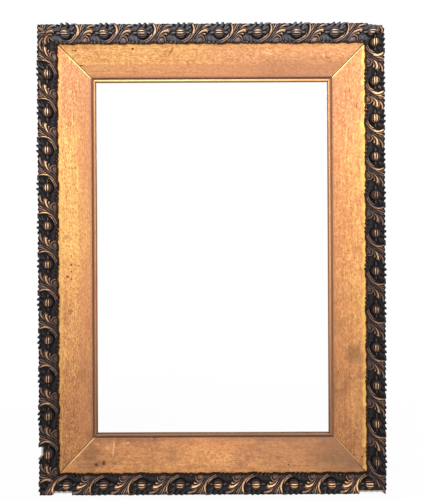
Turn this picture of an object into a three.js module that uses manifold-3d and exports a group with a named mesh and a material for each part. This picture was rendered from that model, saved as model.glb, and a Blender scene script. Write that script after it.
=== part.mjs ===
// A gilded picture frame.
//
// Four pine rails carry a run of berry-and-leaf ornament and, in their rebate, a canted oak flat with a
// beaded slip along the sight edge. Nails, brads and glue blocks hold it together, and its back has two
// ring hangers and the turn buttons that keep a picture in.
//
// Millimetres, +Z up. The front faces -Y, and the origin is the centre of the back, against the wall.
// A rail is drawn as a section of points [v, w]: v runs inwards from the ornament's outer edge, and w
// runs forwards from the back.

import * as THREE from "three";
import { mergeVertices } from "three/addons/utils/BufferGeometryUtils.js";
import loadManifold from "manifold-3d";

const wasm = await loadManifold();
wasm.setup();

// The picture that the frame takes
const pictureWidth = 508;
const pictureHeight = 762;
const pictureClearance = 1;

// Clearances
const fitGap = 0.3;
const mitreGap = 0.4;
const drillGap = 0.2;

// Sight slip
const slipWidth = 10;
const slipThickness = 6;
const slipSetback = 1;
const beadRadius = 3;

// Oak flat: its gilded face, its climb from slip to ornament, and its board
const flatWidth = 64.5;
const flatRise = 18;
const flatEdge = 13;
const flatTongue = 7;
const flatRecess = 8;

// Pine rail under the ornament
const railSetIn = 2.3;
const lipThickness = 4;
const seatRise = 8;

// Ornament: the strip that carries the leaves
const ornamentWidth = 33.3;
const ornamentLap = 1.5;
const ornamentSkirt = 8;
const innerEdgeHeight = 5.5;
const rimHeight = 6.5;
const reliefHeight = 14;
const edgeOverhang = 3;

// Ornament: one repeat, from berry to berry
const ornamentPitch = 78.4;
const berryRadius = 8.8;
const berryFlute = 1.1;
const berryAcross = 14.5;
const berryLift = 1;
const leafSink = 1.5;

// Mitre nails
const nailRadius = 1.3;
const nailLength = 45;
const nailHeadRadius = 2.6;
const nailHeadThickness = 1;
const nailInset = 14;
const nailHeightSides = 14;
const nailHeightEnds = 30;

// Brads that hold the flat in the rebate
const bradRadius = 0.9;
const bradHeadRadius = 1.6;
const bradHeadThickness = 0.8;
const bradBite = 12;
const bradStand = 13;
const bradFromCorner = 180;

// Glue blocks behind the flat's mitres
const blockLeg = 70;
const blockThickness = 6;

// Ring hangers
const hangerHeight = 250;
const hangerInset = 14;
const plateWidth = 14;
const plateLength = 44;
const plateThickness = 1.4;
const plateNeck = 7;
const eyeWidth = 6;
const eyeWall = 1.4;
const ringRadius = 11;
const ringWire = 1.6;

// Turn buttons
const buttonReach = 26;
const buttonTail = 7;
const buttonWidth = 10;
const buttonThickness = 2;
const buttonFromRebate = 14;
const buttonSpacing = 380;

// Screws of the hangers and the turn buttons
const screwRadius = 1.6;
const screwLength = 12;
const screwHeadRadius = 3.4;
const screwHeadThickness = 1.8;
const screwSlotWidth = 0.9;
const screwSlotDepth = 0.8;

// Sizes that follow
const rebateWidth = pictureWidth + 2 * pictureClearance;
const rebateHeight = pictureHeight + 2 * pictureClearance;
const frameWidth = rebateWidth + 2 * (flatWidth + ornamentWidth);
const frameHeight = rebateHeight + 2 * (flatWidth + ornamentWidth);
const flatInner = ornamentWidth + flatWidth;
const flatOuter = ornamentWidth - flatTongue;
const flatLow = flatRecess + flatEdge;
const flatHigh = flatLow + flatRise;
const rebateWall = flatOuter - fitGap;
const lipUnder = flatHigh + fitGap;
const lipEnd = ornamentWidth - ornamentLap;
const seatInner = lipUnder + lipThickness;
const seatOuter = seatInner + seatRise;
const rimTop = seatOuter + rimHeight;
const innerTop = lipUnder + innerEdgeHeight;
const eyeSag = ringRadius - Math.sqrt(ringRadius ** 2 - (eyeWidth / 2) ** 2);
const eyeBore = ringWire + eyeSag + fitGap;
const eyeRadius = eyeBore + eyeWall;
const hangerScrews = { upper: ringRadius, lower: plateLength - plateWidth / 2 - fitGap };
const buttonInset = flatInner - buttonFromRebate;

// The four sides, clockwise as seen from the front, each with its half length, its distance from the
// centre, the neighbours at its two ends and the place of its first berry from its first corner
const across = { half: frameWidth / 2, reach: frameHeight / 2 };
const upright = { half: frameHeight / 2, reach: frameWidth / 2 };
const sides = [
  { name: "top", ends: ["left", "right"], firstBerry: 53.5, ...across },
  { name: "right", ends: ["top", "bottom"], firstBerry: 35.7, ...upright },
  { name: "bottom", ends: ["right", "left"], firstBerry: 26.9, ...across },
  { name: "left", ends: ["bottom", "top"], firstBerry: 82.4, ...upright },
];
const isUpright = (side) => side.name === "left" || side.name === "right";

// Finishes
const barePine = { color: 0xb98d5c, roughness: 0.75, metalness: 0 };
const bronzedLeaf = { color: 0x4d423c, roughness: 0.45, metalness: 0.4 };
const gildedOak = { color: 0xe6ab6d, roughness: 0.4, metalness: 0.6 };
const giltBead = { color: 0xeebb80, roughness: 0.35, metalness: 0.7 };
const iron = { color: 0x5b5550, roughness: 0.6, metalness: 0.9 };
const brass = { color: 0xb08d4a, roughness: 0.4, metalness: 0.9 };
const steel = { color: 0x8d8b86, roughness: 0.45, metalness: 0.9 };

function mesh(name, geometry, finish) {
  geometry.computeVertexNormals();
  const piece = new THREE.Mesh(geometry, new THREE.MeshStandardMaterial(finish));
  piece.name = name;
  return piece;
}

// Joining and cutting

function solidOf(geometry) {
  const bare = new THREE.BufferGeometry();
  bare.setAttribute("position", geometry.attributes.position);
  bare.setIndex(geometry.index);
  const merged = mergeVertices(bare, 1e-4);
  const corners = merged.index.array;
  const triangles = [];
  for (let i = 0; i < corners.length; i += 3) {
    const [a, b, c] = corners.slice(i, i + 3);
    if (a !== b && b !== c && c !== a) triangles.push(a, b, c);
  }
  const vertProperties = new Float32Array(merged.attributes.position.array);
  const triVerts = new Uint32Array(triangles);
  return new wasm.Manifold(new wasm.Mesh({ numProp: 3, vertProperties, triVerts }));
}

function geometryOf(solid) {
  const { vertProperties, triVerts } = solid.getMesh();
  const geometry = new THREE.BufferGeometry();
  geometry.setAttribute("position", new THREE.BufferAttribute(vertProperties, 3));
  geometry.setIndex(new THREE.BufferAttribute(triVerts, 1));
  return geometry.toNonIndexed();
}

function join(...geometries) {
  return geometryOf(geometries.map(solidOf).reduce((whole, part) => whole.add(part)));
}

function cut(geometry, tools) {
  return geometryOf(tools.map(solidOf).reduce((whole, tool) => whole.subtract(tool), solidOf(geometry)));
}

// Simple forms

const point = (x, y, z) => new THREE.Vector3(x, y, z);

function bar(radius, from, to, facets = 8) {
  const way = new THREE.Vector3().subVectors(to, from);
  const geometry = new THREE.CylinderGeometry(radius, radius, way.length(), facets);
  geometry.translate(0, way.length() / 2, 0);
  const turn = new THREE.Quaternion().setFromUnitVectors(point(0, 1, 0), way.normalize());
  return geometry.applyQuaternion(turn).translate(from.x, from.y, from.z);
}

// A length of the section's moulding with a mitre at both ends: x along the rail, y outwards, z forwards
function mitredRail(section, side) {
  const shape = new THREE.Shape(section.map(([v, w]) => new THREE.Vector2(v, w)));
  const geometry = new THREE.ExtrudeGeometry(shape, { depth: 1, bevelEnabled: false });
  const { position } = geometry.attributes;
  for (let i = 0; i < position.count; i++) {
    const v = position.getX(i);
    const w = position.getY(i);
    const mitre = side.half - v - mitreGap / Math.SQRT2;
    position.setXYZ(i, position.getZ(i) < 0.5 ? mitre : -mitre, side.reach - v, w);
  }
  return geometry;
}

// Outer rails and their nails

const railSection = [
  [railSetIn, 0],
  [rebateWall, 0],
  [rebateWall, lipUnder],
  [lipEnd, lipUnder],
  [lipEnd, seatInner],
  [railSetIn, seatOuter],
];

// Nails go through each rail into the end of its neighbour, those of the sides below those of the ends
const nailHeight = (side) => (isUpright(side) ? nailHeightSides : nailHeightEnds);
const crossNailHeight = (side) => (isUpright(side) ? nailHeightEnds : nailHeightSides);

function mitreNail(side, end) {
  const onNail = (y) => point(end * (side.half - nailInset), y, nailHeight(side));
  const seat = side.reach - railSetIn + drillGap;
  const head = bar(nailHeadRadius, onNail(seat), onNail(seat + nailHeadThickness));
  return join(bar(nailRadius, onNail(seat + nailHeadThickness / 2), onNail(seat - nailLength)), head);
}

// The holes at one end of a rail: for its own nail, and for the nail that comes in from its neighbour
function nailHoles(side, end) {
  const radius = nailRadius + drillGap;
  const depth = railSetIn + nailLength;
  const own = (y) => point(end * (side.half - nailInset), y, nailHeight(side));
  const cross = (x) => point(end * x, side.reach - nailInset, crossNailHeight(side));
  return [
    bar(radius, own(side.reach), own(side.reach - depth)),
    bar(radius, cross(side.half), cross(side.half - depth)),
  ];
}

// Brads stand out of the rebate wall and lie over the flat's back

const bradHeight = flatRecess - fitGap - bradHeadRadius;

function bradEnds(side, end) {
  const x = end * (side.half - bradFromCorner);
  const wall = side.reach - rebateWall;
  return [point(x, wall + bradBite, bradHeight), point(x, wall - bradStand, bradHeight)];
}

function flatBrad(side, end) {
  const [tip, neck] = bradEnds(side, end);
  const cap = point(neck.x, neck.y - bradHeadThickness, neck.z);
  return join(bar(bradRadius, tip, cap), bar(bradHeadRadius, neck, cap));
}

function bradHole(side, end) {
  const [tip, neck] = bradEnds(side, end);
  tip.y += drillGap;
  return bar(bradRadius + drillGap, tip, neck);
}

// The hangers' screws go into the upright rails
function hangerScrewHoles(side) {
  if (!isUpright(side)) return [];
  const up = side.name === "left" ? 1 : -1;
  const y = side.reach - hangerInset;
  return Object.values(hangerScrews).map((drop) => {
    const x = up * (hangerHeight - drop);
    return bar(screwRadius + drillGap, point(x, y, -plateThickness), point(x, y, screwLength));
  });
}

function outerRail(side) {
  const holes = hangerScrewHoles(side);
  for (const end of [-1, 1]) holes.push(...nailHoles(side, end), bradHole(side, end));
  return cut(mitredRail(railSection, side), holes);
}

// Ornament

const ornamentUnderside = [
  [ornamentWidth, lipUnder],
  [lipEnd + fitGap, lipUnder],
  [lipEnd + fitGap, seatInner + fitGap],
  [railSetIn - fitGap, seatOuter + fitGap],
  [railSetIn - fitGap, seatOuter - ornamentSkirt],
];

// The strip's face falls from the rim at the outer edge to the inner edge
const ornamentSection = [
  [0, seatOuter - ornamentSkirt],
  [0, rimTop],
  [ornamentWidth, innerTop],
  ...ornamentUnderside,
];

// The room that the ornament may fill, above the wood
const ornamentRoom = [
  [-edgeOverhang, seatOuter - ornamentSkirt],
  [-edgeOverhang, rimTop + reliefHeight],
  [ornamentWidth + edgeOverhang, rimTop + reliefHeight],
  [ornamentWidth + edgeOverhang, lipUnder],
  ...ornamentUnderside.slice(1),
];

// A place on the strip's face, from shares of the pitch along it and of its width across it
function onFace(along, across, lift = 0) {
  const height = rimTop + (innerTop - rimTop) * across;
  return point(along * ornamentPitch, -across * ornamentWidth, height + lift);
}

// The leaves of one repeat, as routes over the face: one curls round the berry, two fan out towards the rim
const cupRoute = [[0.33, 0.07], [0.32, 0.31], [0.29, 0.58], [0.22, 0.78], [0.1, 0.95]];
const innerRoute = [[0.2, 0.84], [0.38, 0.6], [0.51, 0.44], [0.62, 0.34]];
const outerRoute = [[0.36, 0.5], [0.46, 0.32], [0.58, 0.16], [0.7, 0.08]];
const leaves = [
  { route: cupRoute, width: 3, height: 5.5, steps: 4 },
  { route: innerRoute, width: 5, height: 5.5, steps: 3 },
  { route: outerRoute, width: 4.5, height: 4.5, steps: 3 },
];

// A ridged leaf that widens from its root and runs out at its tip
function leaf({ route, width, height, steps }) {
  const curve = new THREE.CatmullRomCurve3(route.map(([along, across]) => onFace(along, across)));
  const corners = [];
  for (let step = 0; step <= steps; step++) {
    const share = step / steps;
    const swell = Math.sin(Math.PI * (0.2 + 0.7 * share));
    const centre = curve.getPoint(share);
    const across = curve.getTangent(share).cross(point(0, 0, 1)).setLength(width * swell);
    corners.push(centre.clone().add(across).setZ(centre.z - leafSink));
    corners.push(centre.clone().setZ(centre.z + height * swell));
    corners.push(centre.clone().sub(across).setZ(centre.z - leafSink));
  }
  const last = 3 * steps;
  const faces = [0, 1, 2, last, last + 2, last + 1];
  for (let ring = 0; ring < last; ring += 3) {
    for (let edge = 0; edge < 3; edge++) {
      const a = ring + edge;
      const b = ring + ((edge + 1) % 3);
      faces.push(a, a + 3, b, b, a + 3, b + 3);
    }
  }
  const geometry = new THREE.BufferGeometry().setFromPoints(corners);
  geometry.setIndex(faces);
  return geometry;
}

// A fluted ball with its poles along the run
function berry() {
  const flutes = 4;
  const geometry = new THREE.SphereGeometry(berryRadius, 2 * flutes, 4).rotateZ(Math.PI / 2);
  const { position } = geometry.attributes;
  for (let i = 0; i < position.count; i++) {
    const turn = Math.atan2(position.getZ(i), position.getY(i));
    const depth = 1 - (berryFlute / berryRadius) * (0.5 + 0.5 * Math.cos(flutes * turn));
    position.setXYZ(i, position.getX(i), position.getY(i) * depth, position.getZ(i) * depth);
  }
  const centre = onFace(0, berryAcross / ornamentWidth, berryLift);
  return geometry.translate(centre.x, centre.y, centre.z);
}

// Repeats run the whole length and are sawn off at the mitres with the strip
function ornament(side) {
  const pieces = [solidOf(mitredRail(ornamentSection, side))];
  const repeat = [berry(), ...leaves.map(leaf)];
  const start = side.firstBerry - side.half - ornamentPitch;
  for (let x = start; x < side.half + ornamentPitch; x += ornamentPitch) {
    for (const form of repeat) pieces.push(solidOf(form.clone().translate(x, side.reach, 0)));
  }
  const run = wasm.Manifold.union(pieces).intersect(solidOf(mitredRail(ornamentRoom, side)));
  const [whole] = run.decompose().sort((a, b) => b.volume() - a.volume());
  return geometryOf(whole);
}

// Flats and slips

const flatSection = [
  [flatOuter, flatRecess],
  [flatInner, flatRecess],
  [flatInner, flatLow],
  [ornamentWidth, flatHigh],
  [flatOuter, flatHigh],
];

const buttonPlaces = (side) => (isUpright(side) ? [-buttonSpacing / 2, buttonSpacing / 2] : [0]);

function flat(side) {
  const y = side.reach - buttonInset;
  const holes = buttonPlaces(side).map((x) =>
    bar(screwRadius + drillGap, point(x, y, 0), point(x, y, flatRecess + screwLength)),
  );
  return cut(mitredRail(flatSection, side), holes);
}

function slipSection() {
  const sight = flatInner + slipWidth;
  const back = flatLow - slipSetback - slipThickness;
  const spring = flatLow - slipSetback - beadRadius;
  const section = [[flatInner + fitGap, back], [sight, back]];
  const facets = 6;
  for (let facet = 0; facet <= facets; facet++) {
    const turn = (Math.PI * facet) / facets;
    section.push([sight - beadRadius + beadRadius * Math.cos(turn), spring + beadRadius * Math.sin(turn)]);
  }
  return [...section, [flatInner + fitGap, spring]];
}

// A block glued behind a mitre of the flat, its right angle in the corner of the rebate
function cornerBlock(toRight, toTop) {
  const x = toRight * (frameWidth / 2 - rebateWall - fitGap);
  const z = toTop * (frameHeight / 2 - rebateWall - fitGap);
  const shape = new THREE.Shape();
  shape.moveTo(x, -z);
  shape.lineTo(x - toRight * blockLeg, -z);
  shape.lineTo(x, -z + toTop * blockLeg);
  const geometry = new THREE.ExtrudeGeometry(shape, { depth: blockThickness, bevelEnabled: false });
  return geometry.rotateX(-Math.PI / 2).translate(0, fitGap - flatRecess, 0);
}

// Hardware on the back, drawn from behind with y downwards and then stood up, so that depth runs backwards

const standUp = (geometry) => geometry.rotateX(-Math.PI / 2);

function disc(x, y, radius, facets = 8) {
  const rim = [];
  for (let facet = 0; facet < facets; facet++) {
    const turn = (2 * Math.PI * facet) / facets;
    rim.push(new THREE.Vector2(x + radius * Math.cos(turn), y + radius * Math.sin(turn)));
  }
  return rim;
}

// A screw whose head seats at y = 0 with its shank going forwards
function screw() {
  const head = new THREE.CylinderGeometry(0.7 * screwHeadRadius, screwHeadRadius, screwHeadThickness, 10);
  head.translate(0, screwHeadThickness / 2, 0);
  const shank = bar(screwRadius, point(0, -screwLength + drillGap, 0), point(0, screwHeadThickness / 2, 0));
  const slot = new THREE.BoxGeometry(3 * screwHeadRadius, 2 * screwSlotDepth, screwSlotWidth);
  return cut(join(shank, head), [slot.translate(0, screwHeadThickness, 0)]);
}

function hangerPlate() {
  const half = plateWidth / 2;
  const outline = new THREE.Shape();
  outline.moveTo(-eyeWidth / 2, 0);
  outline.lineTo(-eyeWidth / 2, plateNeck - half / 2);
  outline.lineTo(-half, plateNeck);
  outline.lineTo(-half, plateLength - half);
  outline.absarc(0, plateLength - half, half, Math.PI, 0, true);
  outline.lineTo(half, plateNeck);
  outline.lineTo(eyeWidth / 2, plateNeck - half / 2);
  outline.lineTo(eyeWidth / 2, 0);
  for (const drop of Object.values(hangerScrews)) {
    outline.holes.push(new THREE.Path(disc(0, drop, screwRadius + drillGap)));
  }
  const options = { depth: plateThickness, bevelEnabled: false, curveSegments: 8 };
  const plate = standUp(new THREE.ExtrudeGeometry(outline, options));
  const eyeY = eyeRadius;
  const across = eyeWidth / 2;
  const eye = bar(eyeRadius, point(-across, eyeY, 0), point(across, eyeY, 0), 12);
  const bore = bar(eyeBore, point(-eyeWidth, eyeY, 0), point(eyeWidth, eyeY, 0), 12);
  return cut(join(plate, eye), [bore]);
}

function hangerRing() {
  const geometry = new THREE.TorusGeometry(ringRadius, ringWire, 6, 20);
  return geometry.rotateX(Math.PI / 2).translate(0, eyeRadius, 0).translate(0, 0, -ringRadius);
}

function hanger(side) {
  const group = new THREE.Group();
  const toRight = side.name === "right" ? 1 : -1;
  group.position.set(toRight * (side.reach - hangerInset), fitGap, hangerHeight);
  group.add(mesh(`hanger_plate_${side.name}`, hangerPlate(), brass));
  group.add(mesh(`hanger_ring_${side.name}`, hangerRing(), brass));
  for (const [place, drop] of Object.entries(hangerScrews)) {
    const piece = mesh(`hanger_screw_${side.name}_${place}`, screw(), steel);
    piece.position.set(0, plateThickness + drillGap, -drop);
    group.add(piece);
  }
  return group;
}

function turnButton() {
  const half = buttonWidth / 2;
  const outline = new THREE.Shape();
  outline.absarc(0, buttonReach - half, half, 0, Math.PI, false);
  outline.lineTo(-half, half - buttonTail);
  outline.absarc(0, half - buttonTail, half, Math.PI, 2 * Math.PI, false);
  outline.closePath();
  outline.holes.push(new THREE.Path(disc(0, 0, screwRadius + drillGap)));
  const options = { depth: buttonThickness, bevelEnabled: false, curveSegments: 6 };
  return standUp(new THREE.ExtrudeGeometry(outline, options));
}

// A button parked beside the rebate, pointing down or, on the ends, sideways
function buttonSet(place, x, z, parked) {
  const group = new THREE.Group();
  group.position.set(x, fitGap - flatRecess, z);
  group.rotation.y = parked;
  group.add(mesh(`turn_button_${place}`, turnButton(), brass));
  const pivot = mesh(`turn_button_screw_${place}`, screw(), steel);
  pivot.position.y = buttonThickness + drillGap;
  group.add(pivot);
  return group;
}

// The frame

const frame = new THREE.Group();

for (const [turn, side] of sides.entries()) {
  const section = new THREE.Group();
  section.rotation.x = Math.PI / 2;
  section.add(mesh(`outer_rail_${side.name}`, outerRail(side), barePine));
  section.add(mesh(`ornament_${side.name}`, ornament(side), bronzedLeaf));
  section.add(mesh(`flat_${side.name}`, flat(side), gildedOak));
  section.add(mesh(`sight_slip_${side.name}`, mitredRail(slipSection(), side), giltBead));
  for (const [index, end] of side.ends.entries()) {
    const toEnd = 2 * index - 1;
    section.add(mesh(`mitre_nail_${side.name}_${end}`, mitreNail(side, toEnd), iron));
    section.add(mesh(`flat_brad_${side.name}_${end}`, flatBrad(side, toEnd), iron));
  }
  const turned = new THREE.Group();
  turned.rotation.y = (turn * Math.PI) / 2;
  turned.add(section);
  frame.add(turned);
}

const sideways = { left: -1, right: 1 };
const upwards = { upper: 1, lower: -1 };

for (const [endName, toTop] of [["top", 1], ["bottom", -1]]) {
  for (const [sideName, toRight] of Object.entries(sideways)) {
    frame.add(mesh(`corner_block_${endName}_${sideName}`, cornerBlock(toRight, toTop), barePine));
  }
  frame.add(buttonSet(endName, 0, toTop * (frameHeight / 2 - buttonInset), Math.PI / 2));
}

for (const side of sides.filter(isUpright)) {
  frame.add(hanger(side));
  for (const [place, up] of Object.entries(upwards)) {
    const x = sideways[side.name] * (side.reach - buttonInset);
    frame.add(buttonSet(`${side.name}_${place}`, x, (up * buttonSpacing) / 2, 0));
  }
}

export default frame;
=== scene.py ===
"""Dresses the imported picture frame: its carved berry-and-leaf run, gilded boards, bare back and hardware.

Lengths are millimetres until they go into a mesh. A rail has its own directions: x along it, clockwise
as seen from the front, v inwards from the outer edge and w forwards from the back.
"""

import math

import bpy
import numpy as np
from mathutils import Matrix, Vector


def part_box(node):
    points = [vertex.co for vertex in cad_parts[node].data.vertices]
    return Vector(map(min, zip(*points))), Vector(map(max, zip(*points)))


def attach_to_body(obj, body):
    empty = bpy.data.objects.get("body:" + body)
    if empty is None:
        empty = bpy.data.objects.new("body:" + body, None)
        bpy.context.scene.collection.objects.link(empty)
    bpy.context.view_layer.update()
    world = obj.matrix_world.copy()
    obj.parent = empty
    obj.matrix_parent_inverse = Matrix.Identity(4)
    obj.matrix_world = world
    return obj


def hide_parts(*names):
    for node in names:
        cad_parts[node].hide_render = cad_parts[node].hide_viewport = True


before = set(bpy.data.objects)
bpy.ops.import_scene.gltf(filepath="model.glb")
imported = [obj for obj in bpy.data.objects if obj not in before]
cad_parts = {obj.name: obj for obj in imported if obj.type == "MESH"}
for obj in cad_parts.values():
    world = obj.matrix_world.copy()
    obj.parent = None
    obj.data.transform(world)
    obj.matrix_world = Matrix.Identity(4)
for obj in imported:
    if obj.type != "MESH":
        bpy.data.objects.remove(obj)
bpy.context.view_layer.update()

MM = 0.001
SIDES = ("top", "right", "bottom", "left")
BAKE_MAP = "OFBake"
rng = np.random.default_rng(1897)


# Sizes taken from the frame

def span(node):
    """A CAD node's lowest and highest corner, in millimetres."""
    low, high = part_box(node)
    return np.array(low) / MM, np.array(high) / MM


HALF_WIDTH = span("ornament_right")[1][0]
HALF_HEIGHT = span("ornament_top")[1][2]


def section_box(piece):
    """How far a piece reaches across its rail and forwards: v from, v to, w from, w to."""
    low, high = span(piece + "_left")
    return low[0] + HALF_WIDTH, high[0] + HALF_WIDTH, -high[1], -low[1]


_, ORNAMENT_IN, ORNAMENT_LOW, ORNAMENT_HIGH = section_box("ornament")
RAIL_OUT, RAIL_IN, _, SEAT_OUT = section_box("outer_rail")
FLAT_OUT, FLAT_IN, FLAT_BACK, FLAT_HIGH = section_box("flat")
SLIP_OUT, SLIP_IN, SLIP_BACK, BEAD_TOP = section_box("sight_slip")
# The bead's inner edge is rubbed back a little
SIGHT = SLIP_IN - 1.0
SEAT_FALL = 8
FLAT_LOW = FLAT_BACK + 13
BEAD_HALF = 3.6
BEAD_RISE = 3
MITRE_GAP = 0.05
FIT = 0.3


def by_side(*values):
    """One value for each side, in the order of SIDES."""
    return dict(zip(SIDES, values))


ALONG = by_side((1, 0, 0), (0, 0, -1), (-1, 0, 0), (0, 0, 1))
OUTWARD = by_side((0, 0, 1), (1, 0, 0), (0, 0, -1), (-1, 0, 0))
FORWARD = (0, -1, 0)


def is_upright(side):
    return side in ("left", "right")


def half_of(side):
    return HALF_HEIGHT if is_upright(side) else HALF_WIDTH


def reach_of(side):
    return HALF_WIDTH if is_upright(side) else HALF_HEIGHT


def in_frame(side, x, v, w):
    """Points of a rail in the row frame, in metres."""
    outwards = reach_of(side) - v
    parts = zip((x, outwards, w), (ALONG[side], OUTWARD[side], FORWARD))
    return MM * sum(length[..., None] * np.array(way, float) for length, way in parts)


# Shares between 0 and 1

def unit(value):
    """A value kept between 0 and 1."""
    return np.clip(value, 0, 1)


def ramp(value, start, end):
    """Goes evenly from 0 where the value is at the start to 1 at the end."""
    return unit((value - start) / (end - start))


def hump(value, middle, reach):
    """1 where the value is at the middle, falling away over about the reach."""
    return np.exp(-(((value - middle) / reach) ** 2))


# Building meshes

def add_object(mesh, material, sharp_angle=None):
    """A mesh as an object of the scene, smooth but for edges sharper than the angle."""
    mesh.materials.append(material)
    mesh.polygons.foreach_set("use_smooth", np.ones(len(mesh.polygons), bool))
    if sharp_angle is not None:
        mesh.set_sharp_from_angle(angle=math.radians(sharp_angle))
    piece = bpy.data.objects.new(mesh.name, mesh)
    bpy.context.scene.collection.objects.link(piece)
    return piece


def attach(mesh, values):
    """Gives a mesh one number for each vertex under each name."""
    for name, numbers in values.items():
        attribute = mesh.attributes.new(name, "FLOAT", "POINT")
        attribute.data.foreach_set("value", np.ascontiguousarray(numbers, np.float32).ravel())


def volume_of(points, quads):
    """The signed volume that the quads close in."""
    a, b, c, d = (points[quads[:, corner]] for corner in range(4))
    first = np.einsum("ij,ij->i", a, np.cross(b, c))
    second = np.einsum("ij,ij->i", a, np.cross(c, d))
    return (first + second).sum() / 6


def new_mesh(name, points, faces, places):
    """A mesh, with the places of its faces' corners on the map for baking."""
    mesh = bpy.data.meshes.new(name)
    mesh.from_pydata(points, [], faces)
    layer = mesh.uv_layers.new(name=BAKE_MAP)
    layer.data.foreach_set("uv", places.astype(np.float32).ravel())
    return mesh


# Which corners of a quad lie one cell on along a surface, and which round it; then how many rows a loft's map
# is folded into
CORNER_ALONG = np.array((0, 1, 1, 0))
CORNER_ROUND = np.array((0, 0, 1, 1))
FOLD_ROWS = 8


def loft_map(stations, around, rows):
    """Texture places for a loft's corners: its length folded into rows, then the two caps in a last row."""
    per_row = math.ceil((stations - 1) / rows)
    band = 1 / (rows + 1)
    i, j = np.meshgrid(np.arange(stations - 1), np.arange(around), indexing="ij")
    u = ((i % per_row)[..., None] + CORNER_ALONG) / per_row
    v = (i // per_row)[..., None] + 0.02 + 0.96 * (j[..., None] + CORNER_ROUND) / around
    sides = np.stack([u, v * band], -1).reshape(-1, 2)
    turn = np.linspace(0, 2 * np.pi, around, endpoint=False)
    disc = 0.4 * np.stack([np.cos(turn), np.sin(turn)], -1)
    caps = [(disc + middle) * band + (0, rows * band) for middle in ((0.5, 0.5), (1.5, 0.5))]
    return np.concatenate([sides, *caps])


def loft(name, rings):
    """A closed mesh through rings of points, with flat caps at both ends."""
    stations, around = rings.shape[:2]
    points = rings.reshape(-1, 3)
    index = np.arange(stations * around).reshape(stations, around)
    onward = np.roll(index, -1, axis=1)
    quads = np.stack([index[:-1], index[1:], onward[1:], onward[:-1]], -1).reshape(-1, 4)
    faces = quads.tolist() + [index[0].tolist(), index[-1][::-1].tolist()]
    places = loft_map(stations, around, FOLD_ROWS)
    if volume_of(points, quads) < 0:
        faces = [face[::-1] for face in faces]
        sides = places[: 4 * len(quads)].reshape(-1, 4, 2)[:, ::-1].reshape(-1, 2)
        places = np.concatenate([sides, places[4 * len(quads):]])
    return new_mesh(name, points, faces, places)


def smooth_curve(points, steps=10):
    """A Catmull-Rom curve through the points, as points and their shares of the way."""
    p = np.array(points, float)
    p = np.concatenate([[2 * p[0] - p[1]], p, [2 * p[-1] - p[-2]]])[:, None]
    before, start, end, after = p[:-3], p[1:-2], p[2:-1], p[3:]
    t = np.linspace(0, 1, steps, endpoint=False)[:, None]
    pull = 2 * start + (end - before) * t
    bend = (2 * before - 5 * start + 4 * end - after) * t ** 2
    twist = (3 * start - before - 3 * end + after) * t ** 3
    curve = np.concatenate([((pull + bend + twist) / 2).reshape(-1, 2), p[-2]])
    return curve, np.linspace(0, 1, len(curve))


def between(grid, i, k, j, fx, fy):
    """A grid's values between its cells i and k one way, and j and the next the other way."""
    low = grid[i, j] * (1 - fx) + grid[k, j] * fx
    high = grid[i, j + 1] * (1 - fx) + grid[k, j + 1] * fx
    return low * (1 - fy) + high * fy


def value_noise(x, y, cell):
    """Smooth random numbers from -1 to 1 over a plane, with features about a cell wide."""
    gx, gy = ((place - place.min()) / cell for place in (x, y))
    i, j = gx.astype(int), gy.astype(int)
    knots = rng.uniform(-1, 1, (i.max() + 2, j.max() + 2))
    fx, fy = (f * f * (3 - 2 * f) for f in (gx - i, gy - j))
    return between(knots, i, i + 1, j, fx, fy)


# Material nodes

def colour(red, green, blue):
    """A colour given as it shows on a screen, 0 to 255."""
    shares = np.array((red, green, blue)) / 255
    linear = np.where(shares <= 0.04045, shares / 12.92, ((shares + 0.055) / 1.055) ** 2.4)
    return (*linear, 1.0)


class Nodes:
    """A node tree, put together one node at a time."""

    def __init__(self, owner):
        owner.use_nodes = True
        self.tree = owner.node_tree

    def set(self, socket, value):
        """Puts a number, a colour or another node's output into a socket."""
        if isinstance(value, bpy.types.NodeSocket):
            self.tree.links.new(value, socket)
        else:
            socket.default_value = value

    def node(self, kind, inputs, **settings):
        """Adds a shader node and gives its outputs."""
        made = self.tree.nodes.new("ShaderNode" + kind)
        for name, value in settings.items():
            setattr(made, name, value)
        for name, value in inputs.items():
            self.set(made.inputs[name], value)
        return made.outputs

    def maths(self, operation, a, b=0.0):
        return self.node("Math", {0: a, 1: b}, operation=operation)["Value"]

    def add(self, a, b):
        return self.maths("ADD", a, b)

    def times(self, a, b):
        return self.maths("MULTIPLY", a, b)

    def seen_by_eye(self):
        """1 for rays from the camera, from a mirror-like surface or through glass, 0 for others."""
        path = self.node("LightPath", {})
        found = path["Is Camera Ray"]
        for name in ("Is Glossy Ray", "Is Transmission Ray"):
            found = self.maths("MAXIMUM", found, path[name])
        return found

    def show(self, share, usual, other, output):
        """Gives the tree's output two surfaces, the other one by a share."""
        both = self.node("MixShader", {"Fac": share, 1: usual, 2: other})["Shader"]
        self.set(self.tree.nodes[output].inputs["Surface"], both)


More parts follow.
